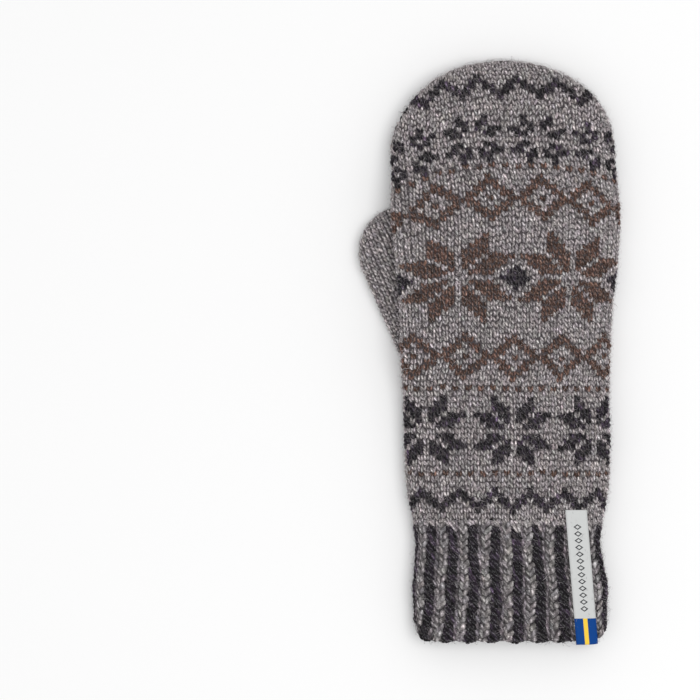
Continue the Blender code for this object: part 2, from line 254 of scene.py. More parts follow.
def hand_section(y, angle):
    """Points of the hand's outer surface: the flat oval, lifted over the thumb, less the dents on top."""
    across, height = flat_oval(angle, half_width(y), thickness(y))
    x = centre(y) + across
    upper = ease(height / np.maximum(thickness(y), 1e-6))
    raised = lift(x, y, 0.0) * (1 - upper) + lift(x, y, BACK_SPREAD) * BACK_SHARE * upper
    return np.stack([x, y + 0 * x, height + raised - dents(x, y) * upper], axis=-1)


def thumb_section(along, angle):
    """Points of the thumb: the flat oval on the thumb's own leaning axis, with a slanted mouth."""
    to_tip = THUMB_LENGTH - along
    half_wide = THUMB_WIDTH / 2 * rounded_end(to_tip, THUMB_TIP_LENGTH, THUMB_TIP_FULLNESS)
    thick = THUMB_THICKNESS * rounded_end(to_tip, THUMB_TIP_ROUNDING, ROUNDING_FULLNESS)
    across, height = flat_oval(angle, half_wide, thick)
    near_mouth = ease(1 - 2 * along / THUMB_LENGTH)
    reach = along + THUMB_MOUTH_SLOPE * height / THUMB_THICKNESS * near_mouth
    x = THUMB_BASE[0] + reach * THUMB_ALONG[0] + across * THUMB_ACROSS[0]
    y = THUMB_BASE[1] + reach * THUMB_ALONG[1] + across * THUMB_ACROSS[1]
    return np.stack([x, y, height], axis=-1)


def hem_rise(side, height):
    """How much higher the hem's corners are: the share to the side to a high power, fading up the cuff."""
    corner = np.minimum(np.abs(side), 1.0) ** HEM_CORNER_SHARPNESS * HEM_CORNER
    return corner * np.clip(1 - height / CUFF_LENGTH, 0, 1) ** HEM_FADE


def cuff_section(along, angle):
    """Points of the cuff. Along is measured through the hem: up the outside it is positive, and inside it
    is negative, with a half circle of the wall's thickness between them."""
    radius = KNIT_WALL / 2
    turn = np.clip(along / radius, -math.pi / 2, math.pi / 2)
    depth = radius - radius * np.sin(turn)
    past = np.maximum(np.abs(along) - radius * math.pi / 2, 0)
    height = radius - radius * np.cos(turn) + past
    half_wide = half_width(height) - depth
    across, z = flat_oval(angle, half_wide, thickness(height) - 2 * depth)
    x = centre(height) + across
    return np.stack([x, height + hem_rise(across / half_wide, height), z + depth], axis=-1)


# %% Into the frame
ends = np.linspace(CUFF_LENGTH, LENGTH, 500)
SHIFT = np.array(
    [
        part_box("hand")[1].x - float(np.max(centre(ends) + half_width(ends))),
        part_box("hand")[1].y - LENGTH,
        0.0,
    ]
)
print("the form moves into the frame by", np.round(SHIFT * 1000, 2), "mm")

# %% [markdown]
# ## Cloth as a table of places
# A stitch is a step across and a step up on the surface. So each knitted tube is turned once into a table:
# rows along it, columns evenly spaced round it, and for each the place and the direction straight out.
# A look-up between the table's entries then lays any small shape on the cloth, bent as the cloth is.

# %% The cloth tables
SECTION_POINTS = 720
HALF_COLUMNS = 200
CLOSING_ROWS = 60
HAND_INTO_CUFF = 0.0040
CUFF_INSIDE = 0.0560
LEAST_HALF_ROUND = 0.004
HAND_ROW_STEP = 0.0005
CUFF_ROW_STEP = 0.0004


def along_rows(row, values, column):
    """Reads a table between its rows and columns: the mean of four entries, weighed by nearness."""
    r = np.clip(row, 0, values.shape[0] - 1.001)
    c = column % (values.shape[1] - 1)
    r0 = r.astype(int)
    c0 = c.astype(int)
    fr = (r - r0)[..., None]
    fc = (c - c0)[..., None]
    low = values[r0, c0] * (1 - fc) + values[r0, c0 + 1] * fc
    high = values[r0 + 1, c0] * (1 - fc) + values[r0 + 1, c0 + 1] * fc
    return low * (1 - fr) + high * fr


class Cloth:
    """A knitted tube. Round it, w runs from 0 at the +X side over the top to 1 at the -X side, and on
    below to 2. Along it, v is in metres: the height above the hem, and from where the closed end starts to
    turn down, the way over the surface."""

    def __init__(self, section, start, end, step, closing=0.0):
        turns_at = end - closing
        heights = np.linspace(start, turns_at, int(round((turns_at - start) / step)) + 1)
        if closing:
            turn = np.linspace(0, math.pi / 2, CLOSING_ROWS)[1:]
            heights = np.concatenate([heights, turns_at + closing * np.sin(turn)])
        angle = np.linspace(0, 2 * math.pi, SECTION_POINTS + 1)
        points = section(heights[:, None], angle[None, :])
        middle = points[:, SECTION_POINTS // 4]
        way = np.concatenate([[0.0], np.cumsum(np.linalg.norm(np.diff(middle, axis=0), axis=1))])
        way_past = way - np.interp(turns_at, heights, way)
        self.rows = np.where(heights > turns_at, turns_at + way_past, heights)
        self.end = float(self.rows[-1])
        sides = np.linalg.norm(np.diff(points, axis=1), axis=2)
        run = np.concatenate([np.zeros((len(points), 1)), np.cumsum(sides, axis=1)], axis=1)
        half = SECTION_POINTS // 2
        share = np.arange(HALF_COLUMNS) / HALF_COLUMNS
        table = []
        for row_run, row in zip(run, points):
            over = share * row_run[half]
            under = row_run[half] + share * (row_run[-1] - row_run[half])
            at = np.concatenate([over, under, [row_run[-1]]])
            table.append(np.stack([np.interp(at, row_run, row[:, k]) for k in range(3)], axis=-1))
        self.points = np.array(table) + SHIFT
        self.over = run[:, half]
        self.under = run[:, -1] - run[:, half]
        around = np.concatenate([self.points[:, -2:-1], self.points, self.points[:, 1:2]], axis=1)
        across = around[:, 2:] - around[:, :-2]
        up = np.gradient(self.points, axis=0)
        out = np.cross(up, across)
        size = np.linalg.norm(out, axis=2, keepdims=True)
        tip = np.array([0.0, 1.0, 0.0])
        self.out = np.where(size > 1e-12, out / np.maximum(size, 1e-12), tip)

    def row_of(self, v):
        """The table's row at v, with its fraction."""
        return np.interp(v, self.rows, np.arange(len(self.rows)))

    def place(self, w, v, rise):
        """The place at w and v on the cloth, raised straight out of it."""
        row = self.row_of(v)
        column = w * HALF_COLUMNS
        out = along_rows(row, self.out, column)
        out = out / np.maximum(np.linalg.norm(out, axis=-1, keepdims=True), 1e-9)
        return along_rows(row, self.points, column) + out * rise[..., None]

    def half_round(self, v, over):
        """The length round the top half or the lower half at v."""
        length = np.where(over, np.interp(v, self.rows, self.over), np.interp(v, self.rows, self.under))
        return np.maximum(length, LEAST_HALF_ROUND)

    def around(self, t, v, over):
        """w for a distance t to the right of the middle line, seen from outside with v upwards."""
        return np.where(over, 0.5, 1.5) - t / self.half_round(v, over)


HAND = Cloth(hand_section, CUFF_LENGTH - HAND_INTO_CUFF, LENGTH, HAND_ROW_STEP, FINGERTIP_ROUNDING)
THUMB = Cloth(thumb_section, 0.0, THUMB_LENGTH, HAND_ROW_STEP, THUMB_TIP_ROUNDING)
CUFF = Cloth(cuff_section, -CUFF_INSIDE, CUFF_LENGTH, CUFF_ROW_STEP)
print("round the hand at its widest:", round(float(HAND.over.max() + HAND.under.max()) * 1000), "mm")

# %% [markdown]
# ## Wool
# The wool is heathered: each strand is spun from light and dark fibres, so its colour changes along and
# across the strand. Up close, the strand is two plies twisted together. One node group gives both, from a
# vector that each strand's mesh carries: place across, place along, and a number of its own.


# %% Small helpers for nodes
def node(tree, kind, **settings):
    """One node, with its inputs or its own settings given by name."""
    made = tree.nodes.new(kind)
    for name, value in settings.items():
        if isinstance(value, (int, float, tuple)) and name in made.inputs:
            made.inputs[name].default_value = value
        else:
            setattr(made, name, value)
    return made


def maths(tree, operation, a, b=None):
    """One Math node. Each input is a number or another node's output."""
    made = tree.nodes.new("ShaderNodeMath")
    made.operation = operation
    for place, value in enumerate((a, b)):
        if value is None:
            continue
        if isinstance(value, (int, float)):
            made.inputs[place].default_value = value
        else:
            tree.links.new(value, made.inputs[place])
    return made.outputs[0]


def times(tree, a, b):
    """One Math node that multiplies."""
    return maths(tree, "MULTIPLY", a, b)


def mix_colour(tree, blend, factor, a, b):
    """One Mix node for colours. The factor, a and b are each a value or another node's output."""
    made = tree.nodes.new("ShaderNodeMix")
    made.data_type = "RGBA"
    made.blend_type = blend
    for place, value in ((0, factor), (6, a), (7, b)):
        if isinstance(value, (int, float, tuple)):
            made.inputs[place].default_value = value
        else:
            tree.links.new(value, made.inputs[place])
    return made.outputs[2]


def new_material(name, roughness, specular):
    """A material, its node tree and its Principled shader, with how rough and how shiny it is."""
    material = bpy.data.materials.new(name)
    material.use_nodes = True
    shader = material.node_tree.nodes["Principled BSDF"]
    shader.inputs["Roughness"].default_value = roughness
    shader.inputs["Specular IOR Level"].default_value = specular
    return material, material.node_tree, shader


# %% The group for heathered, plied wool
PLY_TURNS = 1.3
PLY_SLANT = 3.0
PLY_CONTRAST = 0.45
PLY_DEPTH = 0.00020
TUFTS_PER_METRE = 1500.0
TUFT_CONTRAST = 2.4
STRAY_FROM = 0.20
STRAY_LIGHT = 0.20
WOOL_ROUGHNESS = 0.92
WOOL_SPECULAR = 0.18
SHEEN_ROUGHNESS = 0.55
SHEEN_TINT = (0.9, 0.88, 0.88, 1)


def make_wool_group():
    """The colour times e to the power of heather times an unevenness: a sine for the plies plus noise.
    Where the unevenness passes STRAY_FROM, a little light is added for pale stray fibres."""
    group = bpy.data.node_groups.new("heathered_wool", "ShaderNodeTree")
    group.interface.new_socket("Colour", in_out="INPUT", socket_type="NodeSocketColor")
    group.interface.new_socket("Heather", in_out="INPUT", socket_type="NodeSocketFloat")
    group.interface.new_socket("Colour", in_out="OUTPUT", socket_type="NodeSocketColor")
    group.interface.new_socket("Height", in_out="OUTPUT", socket_type="NodeSocketFloat")
    took = group.nodes.new("NodeGroupInput")
    gave = group.nodes.new("NodeGroupOutput")
    strand = node(group, "ShaderNodeAttribute", attribute_name="strand")
    split = group.nodes.new("ShaderNodeSeparateXYZ")
    group.links.new(strand.outputs["Vector"], split.inputs[0])
    along = times(group, split.outputs["Y"], PLY_TURNS * 2 * math.pi)
    across = times(group, split.outputs["X"], PLY_SLANT)
    own = times(group, split.outputs["Z"], 2 * math.pi)
    ply = maths(group, "SINE", maths(group, "ADD", maths(group, "ADD", along, across), own))
    coords = group.nodes.new("ShaderNodeTexCoord")
    tufts = node(group, "ShaderNodeTexNoise", Scale=TUFTS_PER_METRE, Detail=1.5, Roughness=0.6)
    group.links.new(coords.outputs["Object"], tufts.inputs["Vector"])
    uneven = times(group, maths(group, "SUBTRACT", tufts.outputs["Fac"], 0.5), TUFT_CONTRAST)
    both = maths(group, "ADD", times(group, ply, PLY_CONTRAST), uneven)
    shade = maths(group, "EXPONENT", times(group, both, took.outputs["Heather"]))
    past = maths(group, "MAXIMUM", maths(group, "SUBTRACT", both, STRAY_FROM), 0.0)
    stray = times(group, past, STRAY_LIGHT)
    grey = group.nodes.new("ShaderNodeCombineXYZ")
    pale = group.nodes.new("ShaderNodeCombineXYZ")
    for k in range(3):
        group.links.new(shade, grey.inputs[k])
        group.links.new(stray, pale.inputs[k])
    coloured = mix_colour(group, "MULTIPLY", 1.0, took.outputs["Colour"], grey.outputs[0])
    coloured = mix_colour(group, "ADD", 1.0, coloured, pale.outputs[0])
    group.links.new(coloured, gave.inputs["Colour"])
    group.links.new(both, gave.inputs["Height"])
    return group


WOOL_GROUP = make_wool_group()


def wool_material(name, heather, sheen):
    """Wool coloured from the mesh, one colour for each leg of a stitch, painted darker at the legs' flanks
    and ends as shade.
    """
    material, tree, shader = new_material(name, WOOL_ROUGHNESS, WOOL_SPECULAR)
    shader.inputs["Sheen Weight"].default_value = sheen
    shader.inputs["Sheen Roughness"].default_value = SHEEN_ROUGHNESS
    shader.inputs["Sheen Tint"].default_value = SHEEN_TINT
    colour = node(tree, "ShaderNodeAttribute", attribute_name="yarn_colour")
    wool = tree.nodes.new("ShaderNodeGroup")
    wool.node_tree = WOOL_GROUP
    wool.inputs["Heather"].default_value = heather
    tree.links.new(colour.outputs["Color"], wool.inputs["Colour"])
    tree.links.new(wool.outputs["Colour"], shader.inputs["Base Color"])
    bump = node(tree, "ShaderNodeBump", Strength=0.8, Distance=PLY_DEPTH)
    tree.links.new(wool.outputs["Height"], bump.inputs["Height"])
    tree.links.new(bump.outputs["Normal"], shader.inputs["Normal"])
    return material


HAND_WOOL = wool_material("hand_wool", 1.0, 0.12)
CUFF_WOOL = wool_material("cuff_wool", 1.0, 0.12)
THUMB_WOOL = wool_material("thumb_wool", 1.0, 0.12)
FUZZ_WOOL = wool_material("fuzz_wool", 0.5, 0.3)

# Yarn colours, linear
GREY = np.array([0.420, 0.380, 0.386])
CHARCOAL = np.array([0.015, 0.010, 0.017])
BROWN = np.array([0.140, 0.077, 0.059])
# FURROW is partly a purple-grey yarn and partly painted shade: darker than RIB_GREY for the sunken furrow.
FURROW = np.array([0.178, 0.155, 0.170])
RIB_GREY = np.array([0.290, 0.266, 0.270])
YARNS = np.array([GREY, CHARCOAL, BROWN, FURROW, RIB_GREY])
print("yarns:", len(YARNS))


# %% [markdown]
# ## One leg of a stitch
# A leg is a bent bean: both its ends dive into the cloth, where the loops hold each other, and its middle
# lies on top. The same few rings make every leg. Each is placed by its stitch, mirrored for the other leg
# of the V, and given its own small errors, because no two hand-knitted stitches are alike.


# %% Meshes from arrays
def add_object(name, data):
    """An object in the scene, at the origin."""
    obj = bpy.data.objects.new(name, data)
    bpy.context.scene.collection.objects.link(obj)
    return obj


def put_mesh(name, points, face_sets, material, node_name, attributes=None):
    """A mesh object from an array of points and arrays of faces, each with its own number of corners."""
    mesh = bpy.data.meshes.new(name)
    corners = np.concatenate([faces.ravel() for faces in face_sets])
    sizes = np.concatenate([np.full(len(faces), faces.shape[1]) for faces in face_sets])
    mesh.vertices.add(len(points))
    mesh.vertices.foreach_set("co", np.ascontiguousarray(points, np.float32).ravel())
    mesh.loops.add(len(corners))
    mesh.loops.foreach_set("vertex_index", corners.astype(np.int32))
    mesh.polygons.add(len(sizes))
    starts = np.concatenate([[0], np.cumsum(sizes)[:-1]])
    mesh.polygons.foreach_set("loop_start", starts.astype(np.int32))
    mesh.update(calc_edges=True)
    mesh.shade_smooth()
    for label, values in (attributes or {}).items():
        kind, key = ("FLOAT_COLOR", "color") if values.shape[1] == 4 else ("FLOAT_VECTOR", "vector")
        layer = mesh.attributes.new(label, kind, "POINT")
        layer.data.foreach_set(key, values.astype(np.float32).ravel())
    mesh.materials.append(material)
    obj = add_object(name, mesh)
    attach(obj, "root")
    if node_name:
        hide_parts(node_name)
    return obj


LEG_RINGS = np.array([0.17, 0.50, 0.83])
LEG_RADII = np.array([0.80, 1.00, 0.80])
LEG_SIDES = 5
STRAIGHT_ENDS = 0.05
DIVE_FULLNESS = 0.7
# Painted shade: LOW_SHADE darkens each leg's low flanks and END_SHADE its diving ends, as the shade between
# strands.
LOW_SHADE = 0.20
END_SHADE = 0.50
STEP_OVER_FLOOR = 0.0001


def leg_faces(rings, sides, count, stride):
    """Quads between the rings and a fan at each end, for count copies of a bean with stride points."""
    quads = []
    for r in range(rings - 1):
        for k in range(sides):
            n = (k + 1) % sides
            quads.append((r * sides + k, (r + 1) * sides + k, (r + 1) * sides + n, r * sides + n))
    last = (rings - 1) * sides
    first_pole = rings * sides
    fans = []
    for k in range(sides):
        n = (k + 1) % sides
        fans.append((first_pole, k, n))
        fans.append((last + k, first_pole + 1, last + n))
    shift = (np.arange(count) * stride)[:, None, None]
    return [(np.array(part)[None] + shift).reshape(-1, len(part[0])) for part in (quads, fans)]


def make_legs(name, cloth, legs, material, node_name):
    """Beans on a cloth. Each has its place t, v, over or under, and the size of its stitch, wide and tall.
    In shares of that stitch it has the distances of foot and head to the side, its girth, reach and lean."""
    count = len(legs["t"])
    turn = math.pi / 2 + np.arange(LEG_SIDES) * 2 * math.pi / LEG_SIDES
    t = np.concatenate([np.repeat(LEG_RINGS, LEG_SIDES), [0.0, 1.0]])
    radius = np.concatenate([np.repeat(LEG_RADII, LEG_SIDES), [0.0, 0.0]])
    cos = np.concatenate([np.tile(np.cos(turn), len(LEG_RINGS)), [0.0, 0.0]])
    sin = np.concatenate([np.tile(np.sin(turn), len(LEG_RINGS)), [0.0, 0.0]])
    get = lambda key: legs[key][:, None]
    path = get("foot") + (get("head") - get("foot")) * ease(t * (1 + 2 * STRAIGHT_ENDS) - STRAIGHT_ENDS)
    a = get("side") * path + get("girth") * radius * cos + get("lean") * (t - 0.5)
    b = (t - 0.5) * get("reach")
    dive = 1 - np.sin(math.pi * np.clip(t, 0.0, 1.0)) ** DIVE_FULLNESS
    c = get("rise") - get("depth") * (1 + get("dive") * dive) + get("depth") * radius * sin
    v = get("v") + b * get("tall")
    w = cloth.around(get("t") + a * get("wide"), v, get("over"))
    points = cloth.place(w, v, c)
    points[..., 2] = np.maximum(points[..., 2], STEP_OVER_FLOOR)
    own = random.random(count)[:, None]
    strand = np.stack([cos * radius + 0 * own, t + 0 * own, own + 0 * t], axis=-1)
    height = (1 + radius * sin) / 2
    # Painted shade in the leg's colour: darker on its low flanks and towards its diving ends.
    lit = (LOW_SHADE + (1 - LOW_SHADE) * height**2) * (END_SHADE + (1 - END_SHADE) * np.sin(math.pi * t))
    colour = np.ones((count, len(t), 4))
    colour[..., :3] = legs["colour"][:, None, :] * lit[None, :, None]
    faces = leg_faces(len(LEG_RINGS), LEG_SIDES, count, len(t))
    layers = {"yarn_colour": colour.reshape(-1, 4), "strand": strand.reshape(-1, 3)}
    put_mesh(name, points.reshape(-1, 3), faces, material, node_name, layers)
    print(f"{name}: {count} legs, {len(faces[0]) * 2 + len(faces[1])} triangles")


# %% [markdown]
# ## The chart
# Stranded mittens are knitted from a chart, with one square for each stitch. This one is a plain set of
# bands that repeat right across the hand: zigzags, chains of lozenges and eight-petalled stars. It is
# written as rules on two numbers: a, stitches away from the middle, and b, courses above the ribbing.

# %% Motifs
WALES = 37
CHART_COURSES = 87
ZIGZAGS_AT = (1, 79)
DOTS_AT = (8, 24, 66)
CHAINS_AT = ((30, 0), (60, 4))
STARS_AT = 16
LARGE_STARS_AT = 45
SMALL_STARS_AT = 71


def repeated(a, stitches):
    """The place inside a motif that comes again every so many stitches, counted from the motif's middle."""
    return (a + stitches // 2) % stitches - stitches // 2


def star(a, b, size):
    """Eight petals: with v the smaller distance and u the larger, 1 <= v <= size and v < u <= v + size."""
    u = np.maximum(np.abs(a), np.abs(b))
    v = np.minimum(np.abs(a), np.abs(b))
    return (v >= 1) & (v <= size) & (u > v) & (u <= v + size)


def stars(a, b, size):
    """A row of stars, side by side with one stitch between them."""
    return star(repeated(a, 4 * size + 2), b, size)


def chain(a, b):
    """Lozenges that touch: the distance across plus the distance up is 3 or 4, or 0 in the middle."""
    d = np.abs(repeated(a, 8)) + np.abs(b)
    return (d == 3) | (d == 4) | (d == 0)


def zigzag(a, b):
    """A line two courses thick that climbs for three stitches and falls for three."""
    height = b - np.abs(repeated(a, 6))
    return (height == 0) | (height == 1)


def dots(a, b):
    """Every second stitch of one course."""
    return (b == 0) & (a % 2 == 1)


def chart(a, b):
    """The yarn of each stitch: 0 grey, 1 charcoal, 2 brown."""
    dark = stars(a, b - STARS_AT, 3) | stars(a + 5, b - SMALL_STARS_AT, 2)
    dark |= np.abs(repeated(a, 18)) + np.abs(b - LARGE_STARS_AT) <= 2
    brown = stars(a + 9, b - LARGE_STARS_AT, 4)
    for course in ZIGZAGS_AT:
        dark |= zigzag(a, b - course)
    for course in DOTS_AT:
        brown |= dots(a, b - course)
    for course, shift in CHAINS_AT:
        brown |= chain(a + shift, b - course)
    return np.where(dark, 1, np.where(brown, 2, 0))


squares = chart(*np.meshgrid(np.arange(WALES) - WALES // 2, np.arange(CHART_COURSES)))
print("squares in the pattern yarns:", int((squares > 0).sum()), "of", squares.size)

# %% [markdown]
# ## The stitches of the hand
# Wales are the columns of stitches, and courses are the rows. The wales run straight up the hand and end
# one after another at its sides, where the knitter takes stitches away to round the fingertips. There the
# courses are pulled down at both sides, so they bow. The chart's middle line also leans a little.

# %% Laying the hand's stitches
COURSE = 0.00246
WALE_UNEVEN = 0.16
BOW_STARTS = 0.140
BOW_GROWS = 0.085
BOW_LEFT = 0.0150
BOW_RIGHT = 0.0090
BOW_POWER = 2.5
EDGE_OVERHANG = 0.25
MIDDLE_DRIFT = [
    # up the hand, sideways in mm
    (0.00, 1.9),
    (0.17, 2.7),
    (0.45, 3.6),
    (0.71, 5.1),
    (0.87, -0.3),
    (1.00, -5.6),
]
HEATHER_OF_LEGS = np.array([0.21, 0.80, 0.32, 0.30, 0.24])
HUE_SPREAD = 0.018
LEG_FOOT = 0.17
LEG_HEAD = 0.34
LEG_DIVE = 1.1
# Standard deviations, in shares of a stitch or of the value, and for the rise in metres
LEG_SPREAD = dict(pair_across=0.05, across=0.03, pair_up=0.07, up=0.10, foot=0.02, head=0.03)
LEG_SPREAD.update(girth=0.07, depth=0.06, rise=0.00012, lean=0.09, reach=0.10)


def rough(count, size):
    """Normal errors round 0, with size as their standard deviation."""
    return random.normal(0.0, size, count)


def leg_colours(yarn):
    """Each leg's yarn colour times e to the power of a normal error, one for all and small ones for hue."""
    shade = rough(len(yarn), 1.0) * HEATHER_OF_LEGS[yarn]
    return YARNS[yarn] * np.exp(shade[:, None] + rough((len(yarn), 3), HUE_SPREAD))


def lay_hand(over):
    """Where each stitch of the back (over) or the palm is, with its chart place and its size."""
    columns = np.arange(WALES) - WALES // 2
    courses = np.arange(-1, int((HAND.end - CUFF_LENGTH + BOW_LEFT) / COURSE) + 1)
    a, b = [grid.ravel() for grid in np.meshgrid(columns, courses)]
    uneven = rough(WALES, WALE_UNEVEN)[a + WALES // 2]
    v = CUFF_LENGTH + (b + 0.5 + uneven) * COURSE
    side = 2.0 * a / WALES
    amount = ease((v - BOW_STARTS) / BOW_GROWS) * np.where(side < 0, BOW_LEFT, BOW_RIGHT)
    v = v - amount * np.abs(side) ** BOW_POWER
    here = HAND.half_round(v, over)
    knuckles = LENGTH - FINGERTIP_LENGTH
    before_tip = HAND.half_round(np.minimum(v, knuckles), over)
    reach = before_tip + np.where(v > knuckles, open_width(v) - open_width(knuckles), 0)
    up = (v - CUFF_LENGTH) / (LENGTH - CUFF_LENGTH)
    drift = follow(MIDDLE_DRIFT, 1, up) / 1000 * (1 - side**2)
    across = side * reach / 2 + drift
    wide = reach / WALES
    keep = (np.abs(across) < here / 2 + EDGE_OVERHANG * wide) & (v < HAND.end - COURSE / 4)
    t = across if over else -across
    laid = dict(a=a, b=b, t=t, v=v, wide=wide, over=np.full(len(a), over))
    return {key: value[keep] for key, value in laid.items()}


def legs_of(stitches, yarn, girth=0.260, depth=0.00095, reach=1.40, tall=COURSE, loose=1.0):
    """Two legs for each stitch. The left one is thicker and higher. Loose scales how uneven they are."""
    count = len(stitches["t"])
    sides = np.tile([-1.0, 1.0], count)
    twice = lambda values: np.repeat(values, 2)
    strong = np.where(sides < 0, 1.0, 0.0)
    error = lambda key: rough(2 * count, LEG_SPREAD[key])
    across = loose * (twice(rough(count, LEG_SPREAD["pair_across"])) + error("across"))
    up = twice(rough(count, LEG_SPREAD["pair_up"])) + error("up")
    wide = twice(stitches["wide"])
    return {
        "t": twice(stitches["t"]) + across * wide,
        "v": twice(stitches["v"]) + up * tall,
        "over": twice(stitches["over"]),
        "wide": wide,
        "tall": np.full(2 * count, tall),
        "side": sides,
        "foot": LEG_FOOT + error("foot"),
        "head": LEG_HEAD + error("head"),
        "girth": girth * (0.92 + 0.16 * strong) * (1 + error("girth")),
        "depth": depth * (0.95 + 0.15 * strong) * (1 + error("depth")),
        "dive": np.full(2 * count, LEG_DIVE),
        "rise": 0.00008 * strong + error("rise"),
        "lean": loose * error("lean"),
        "reach": reach * (1 + error("reach")),
        "colour": leg_colours(twice(yarn)),
    }


THUMB_TOP_SHARE = 0.98
THUMB_MOUTH_MARGIN = 0.001
THUMB_SIDE_MARGIN = 0.0005


def inside_thumb(stitches):
    """True for palm stitches that would lie inside the thumb."""
    w = HAND.around(stitches["t"], stitches["v"], stitches["over"])
    place = HAND.place(w, stitches["v"], np.zeros(len(w))) - SHIFT
    along, across = on_thumb(place[:, 0], place[:, 1])
    low = place[:, 2] < THUMB_THICKNESS * THUMB_TOP_SHARE
    beside = np.abs(across) < THUMB_WIDTH / 2 - THUMB_SIDE_MARGIN
    return low & (along > THUMB_MOUTH_MARGIN) & (along < THUMB_LENGTH) & beside


back = lay_hand(True)
palm = lay_hand(False)
outside = ~inside_thumb(palm)
palm = {key: value[outside] for key, value in palm.items()}
back_legs = legs_of(back, chart(back["a"], back["b"]))
palm_legs = legs_of(palm, chart(palm["a"], palm["b"]))
make_legs("hand_back_stitches", HAND, back_legs, HAND_WOOL, "hand")
make_legs("hand_palm_stitches", HAND, palm_legs, HAND_WOOL, "hand")

# %% [markdown]
# ## The ground of the cloth
# Between the legs, the strands that are carried along the inside close the cloth. So under the stitches
# lies a thin closed skin, double because cloth has two sides, which joins at its rim. It keeps light from
# passing through the tube, and the gaps between the legs show it as soft dark grey: painted shade, the
# wool darkened for the shadow that falls deep between the legs.

# %% Closed double skins
GROUND_DEPTH = 0.0011
SKIN_ROWS = 150
SKIN_COLUMNS = 96
HAND_SKIN_DEPTH = KNIT_WALL - 0.0004
HAND_SKIN_BEFORE_TIP = 0.0030
THUMB_SKIN_DEPTH = 0.0018
THUMB_SKIN_FROM = 0.0010
THUMB_SKIN_BEFORE_TIP = 0.0025
CUFF_SKIN_DEPTH_INSIDE = 0.0009
CUFF_SKIN_DEPTH_OUTSIDE = 0.0014
# The ground's two greys are painted shade: wool darkened for the shadow deep between the legs.
GROUND_PAINTED_SHADE_DARK = (0.035, 0.030, 0.033, 1)
GROUND_PAINTED_SHADE_LIGHT = (0.12, 0.105, 0.11, 1)
GROUND_SPOTS_PER_METRE = 700.0


def painted_shade_ground_material():
    """Matt wool between two dark greys, mixed by noise: painted shade for the gaps between the legs."""
    material, tree, shader = new_material("wool_ground_painted_shade", 1.0, 0.1)
    coords = tree.nodes.new("ShaderNodeTexCoord")
    noise = node(tree, "ShaderNodeTexNoise", Scale=GROUND_SPOTS_PER_METRE, Detail=3.0, Roughness=0.6)
    tree.links.new(coords.outputs["Object"], noise.inputs["Vector"])
    colour = mix_colour(tree, "MIX", noise.outputs["Fac"], GROUND_PAINTED_SHADE_DARK, GROUND_PAINTED_SHADE_LIGHT)
    tree.links.new(colour, shader.inputs["Base Color"])
    return material


GROUND_PAINTED_SHADE_WOOL = painted_shade_ground_material()


def make_skin(name, cloth, v, rise, closed, node_name):
    """A grid round the cloth. It ends in a point at both ends, or its last row joins its first."""
    w = np.arange(SKIN_COLUMNS) * 2 / SKIN_COLUMNS
    flat = np.zeros((len(v), SKIN_COLUMNS))
    grid = cloth.place(w[None, :] + flat, v[:, None] + flat, rise[:, None] + flat)
    points = grid.reshape(-1, 3)
    rows = len(v)
    r = np.arange(rows if closed else rows - 1)[:, None]
    k = np.arange(SKIN_COLUMNS)[None, :]
    n = (k + 1) % SKIN_COLUMNS
    here = r * SKIN_COLUMNS
    above = (r + 1) % rows * SKIN_COLUMNS
    quads = np.stack([here + k, here + n, above + n, above + k], -1)
    sets = [quads.reshape(-1, 4)[:, ::-1]]
    if not closed:
        ends = np.stack([grid[0].mean(axis=0), grid[-1].mean(axis=0)])
        points = np.concatenate([points, ends])
        k = k.ravel()
        n = n.ravel()
        last = (rows - 1) * SKIN_COLUMNS
        pole = np.full(SKIN_COLUMNS, rows * SKIN_COLUMNS)
        sets.append(np.stack([pole, k, n], -1)[:, ::-1])
        sets.append(np.stack([pole + 1, last + n, last + k], -1)[:, ::-1])
    put_mesh(name, points, sets, GROUND_PAINTED_SHADE_WOOL, node_name)
    print(f"{name}: {len(points)} points")


def double_skin(start, tip, wall):
    """Heights and depths of one line that runs down the inner side, round the rim and up the outer side."""
    up = start + (tip - start) * np.sin(np.linspace(0, math.pi / 2, SKIN_ROWS // 2))
    v = np.concatenate([up[::-1], up])
    rise = np.concatenate([np.full(len(up), -wall), np.full(len(up), -GROUND_DEPTH)])
    return v, rise


v, rise = double_skin(CUFF_LENGTH, HAND.end - HAND_SKIN_BEFORE_TIP, HAND_SKIN_DEPTH)
make_skin("hand_ground", HAND, v, rise, False, "hand")
v, rise = double_skin(THUMB_SKIN_FROM, THUMB.end - THUMB_SKIN_BEFORE_TIP, THUMB_SKIN_DEPTH)
make_skin("thumb_ground", THUMB, v, rise, False, "thumb")
v = np.linspace(CUFF.rows[0], CUFF_LENGTH, SKIN_ROWS)
rise = np.where(v < 0, -CUFF_SKIN_DEPTH_INSIDE, -CUFF_SKIN_DEPTH_OUTSIDE)
make_skin("cuff_ground", CUFF, v, rise, True, "cuff")

# %% [markdown]
# ## The thumb
# The thumb is knitted with one yarn alone, round and round from the slit to its tip. Its stitches follow
# its own leaning axis and show as close ridges.

# %% Laying the thumb's stitches
THUMB_WALES = 28
THUMB_COURSE = 0.0024
THUMB_HEADS_IN = 0.05


